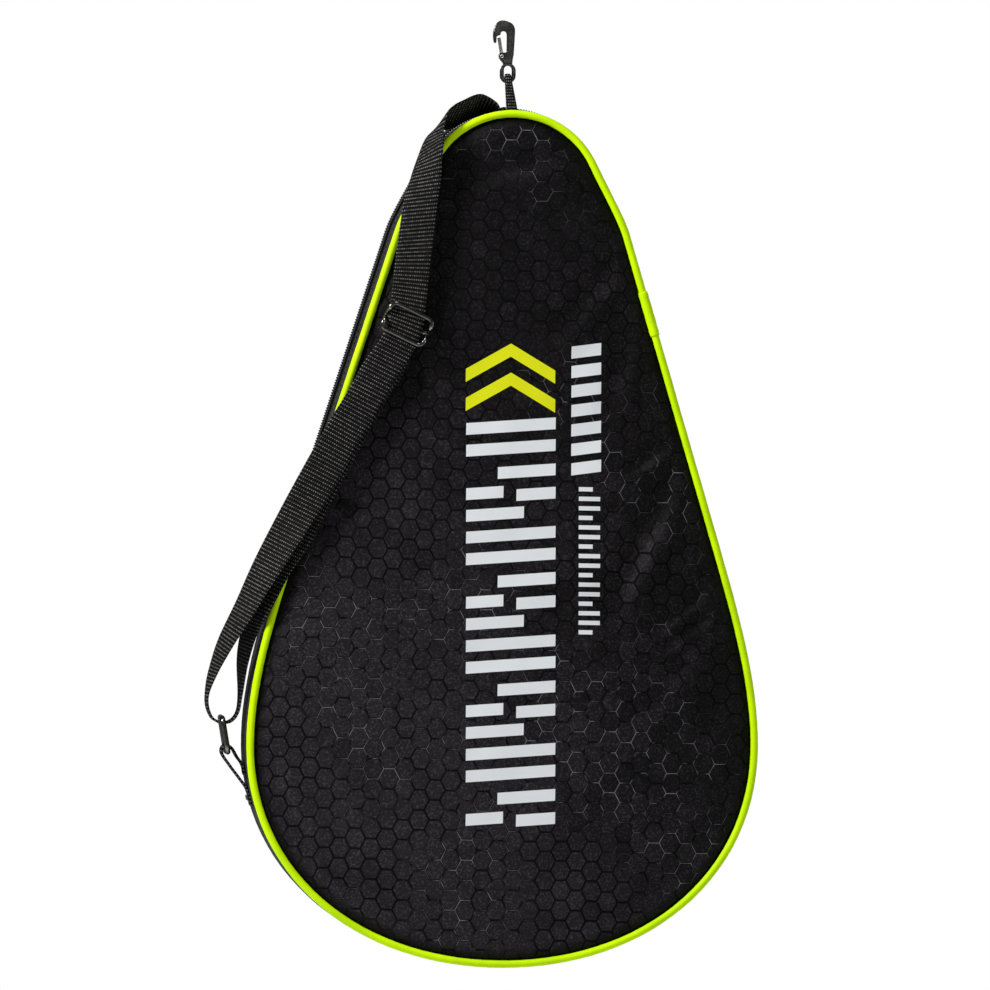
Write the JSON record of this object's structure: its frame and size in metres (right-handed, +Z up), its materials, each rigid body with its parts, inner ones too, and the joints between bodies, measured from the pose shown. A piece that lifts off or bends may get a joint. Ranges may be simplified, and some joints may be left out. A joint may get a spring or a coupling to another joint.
{
  "type": "racket carrying case",
  "caption": "Padded bottle-shaped racket case with contrast piping, rear flap with a zip, webbing shoulder strap and a hanging clip.",
  "frame": {"origin": "where a wire bears inside the top of the clip's hook, with the case hanging upright", "axes": "+Z up along the hanging case, +X to the right seen from the front, front face towards -Y"},
  "size_m": [0.2962, 0.0637, 0.5075],
  "materials": {
    "shell_cloth": "woven, dry",
    "gusset_cloth": "fine woven, dry",
    "foam_core": "soft closed-cell foam",
    "lining_cloth": "smooth woven",
    "piping_vinyl": "smooth vinyl",
    "rear_piping_vinyl": "smooth vinyl",
    "zip_tape": "woven tape",
    "zip_nylon": "moulded coil",
    "gunmetal": "dark polished plating",
    "bright_metal": "polished",
    "webbing": "ribbed webbing",
    "braid": "flat braid",
    "thread": "sewn thread"
  },
  "bodies": {
    "case": {"front_panel_fabric": "shell_cloth", "rear_lower_fabric": "shell_cloth", "gusset_lower_fabric": "gusset_cloth", "gusset_front_fabric": "gusset_cloth", "front_panel_foam": "foam_core", "rear_lower_foam": "foam_core", "gusset_lower_foam": "foam_core", "gusset_front_foam": "foam_core", "front_panel_lining": "lining_cloth", "rear_lower_lining": "lining_cloth", "gusset_lower_lining": "lining_cloth", "gusset_front_lining": "lining_cloth", "front_piping": "piping_vinyl", "piping_joint_sleeve": "piping_vinyl", "rear_lower_piping": "rear_piping_vinyl", "zip_tape_front": "zip_tape", "zip_tape_tail_right": "zip_tape", "zip_tape_tail_left": "zip_tape", "zip_coil_front": "zip_nylon", "zip_coil_tail_right": "zip_nylon", "zip_coil_tail_left": "zip_nylon", "zip_stop_right": "gunmetal", "zip_stop_left": "gunmetal", "strap_main_run": "webbing", "strap_return_run": "webbing", "ring_tab": "webbing", "hang_loop": "braid", "strap_anchor_bartack": "thread", "ring_tab_bartack": "thread"},
    "flap": {"flap_fabric": "shell_cloth", "flap_foam": "foam_core", "flap_lining": "lining_cloth", "flap_piping": "rear_piping_vinyl", "gusset_flap_fabric": "gusset_cloth", "gusset_flap_foam": "foam_core", "gusset_flap_lining": "lining_cloth", "zip_tape_flap": "zip_tape", "zip_coil_flap": "zip_nylon"},
    "slider": {"zip_slider": "gunmetal"},
    "pull": {"zip_pull": "gunmetal"},
    "adjuster": {"strap_adjuster": "gunmetal"},
    "ring": {"lower_ring": "gunmetal"},
    "clip": {"clip_hook": "gunmetal", "gate_pin": "gunmetal"},
    "gate": {"clip_gate": "bright_metal"}
  },
  "joints": [
    {"name": "flap_hinge", "type": "hinge", "parent": "case", "child": "flap", "pos_m": [0.0058, 0.039, -0.2497], "axis": [-1, 0, 0], "range_deg": [0, 110]},
    {"name": "zip_slider_slide", "type": "slide", "parent": "case", "child": "slider", "axis": [0.2963, 0, 0.9551], "range_m": [0, 0.145]},
    {"name": "zip_pull_hinge", "type": "hinge", "parent": "slider", "child": "pull", "pos_m": [-0.1105, 0.0227, -0.25892], "axis": [0, 1, 0], "range_deg": [0, 150]},
    {"name": "strap_adjuster_slide", "type": "slide", "parent": "case", "child": "adjuster", "axis": [0.4226, 0, 0.9063], "range_m": [-0.008, 0.008], "deforming": ["strap_main_run", "strap_return_run"]},
    {"name": "ring_swing", "type": "hinge", "parent": "case", "child": "ring", "pos_m": [-0.1406, 0.0127, -0.389], "axis": [0, 1, 0], "range_deg": [-20, 20], "deforming": ["strap_main_run", "strap_return_run"]},
    {"name": "clip_swing", "type": "hinge", "parent": "case", "child": "clip", "pos_m": [0.0027, 0, -0.0237], "axis": [0, 1, 0], "range_deg": [-75, 75]},
    {"name": "clip_gate_hinge", "type": "hinge", "parent": "clip", "child": "gate", "pos_m": [-0.0006, 0, -0.0134], "axis": [0, 1, 0], "range_deg": [0, 15], "stiffness_Nm_per_rad": 0.02, "springref_deg": -17.19}
  ]
}
